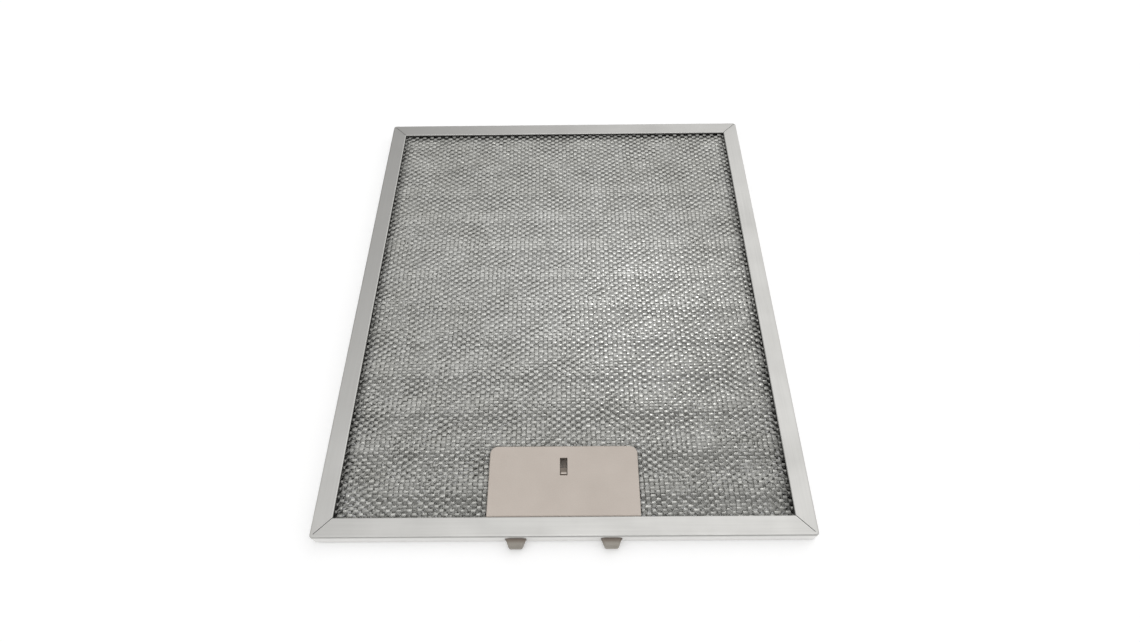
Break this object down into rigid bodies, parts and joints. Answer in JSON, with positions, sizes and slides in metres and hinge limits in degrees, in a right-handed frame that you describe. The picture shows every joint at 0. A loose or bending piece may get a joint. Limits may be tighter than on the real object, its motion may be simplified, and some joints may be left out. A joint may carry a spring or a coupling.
{
  "type": "cooker hood grease filter",
  "caption": "Flat rectangular aluminium mesh grease filter in a mitred channel frame, with a sprung finger latch whose tongues lock it into a cooker hood.",
  "frame": {"origin": "on the room side, under the middle of the whole footprint, latch tongues included", "axes": "X along the latch edge, +Y towards the rear edge, +Z towards the hood"},
  "size_m": [0.253, 0.3044, 0.0085],
  "materials": {
    "frame_aluminium": "satin mill finish",
    "mesh_aluminium": "bright mill finish",
    "latch_plastic": "fine moulded texture, beige-grey",
    "spring_steel": "drawn wire"
  },
  "bodies": {
    "filter": {"frame": "frame_aluminium", "rear_face_mesh": "mesh_aluminium", "crimped_layer_upper": "mesh_aluminium", "crimped_layer_lower": "mesh_aluminium", "front_face_mesh": "mesh_aluminium", "latch_back_plate": "latch_plastic", "latch_front_plate": "latch_plastic", "return_spring_left": "spring_steel", "return_spring_right": "spring_steel"},
    "slider": {"latch_slider": "latch_plastic"}
  },
  "joints": [
    {"name": "latch_slide", "type": "slide", "parent": "filter", "child": "slider", "axis": [0, 1, 0], "range_m": [0, 0.005], "stiffness_N_per_m": 300, "springref_m": -0.004, "deforming": ["return_spring_left", "return_spring_right"]}
  ]
}
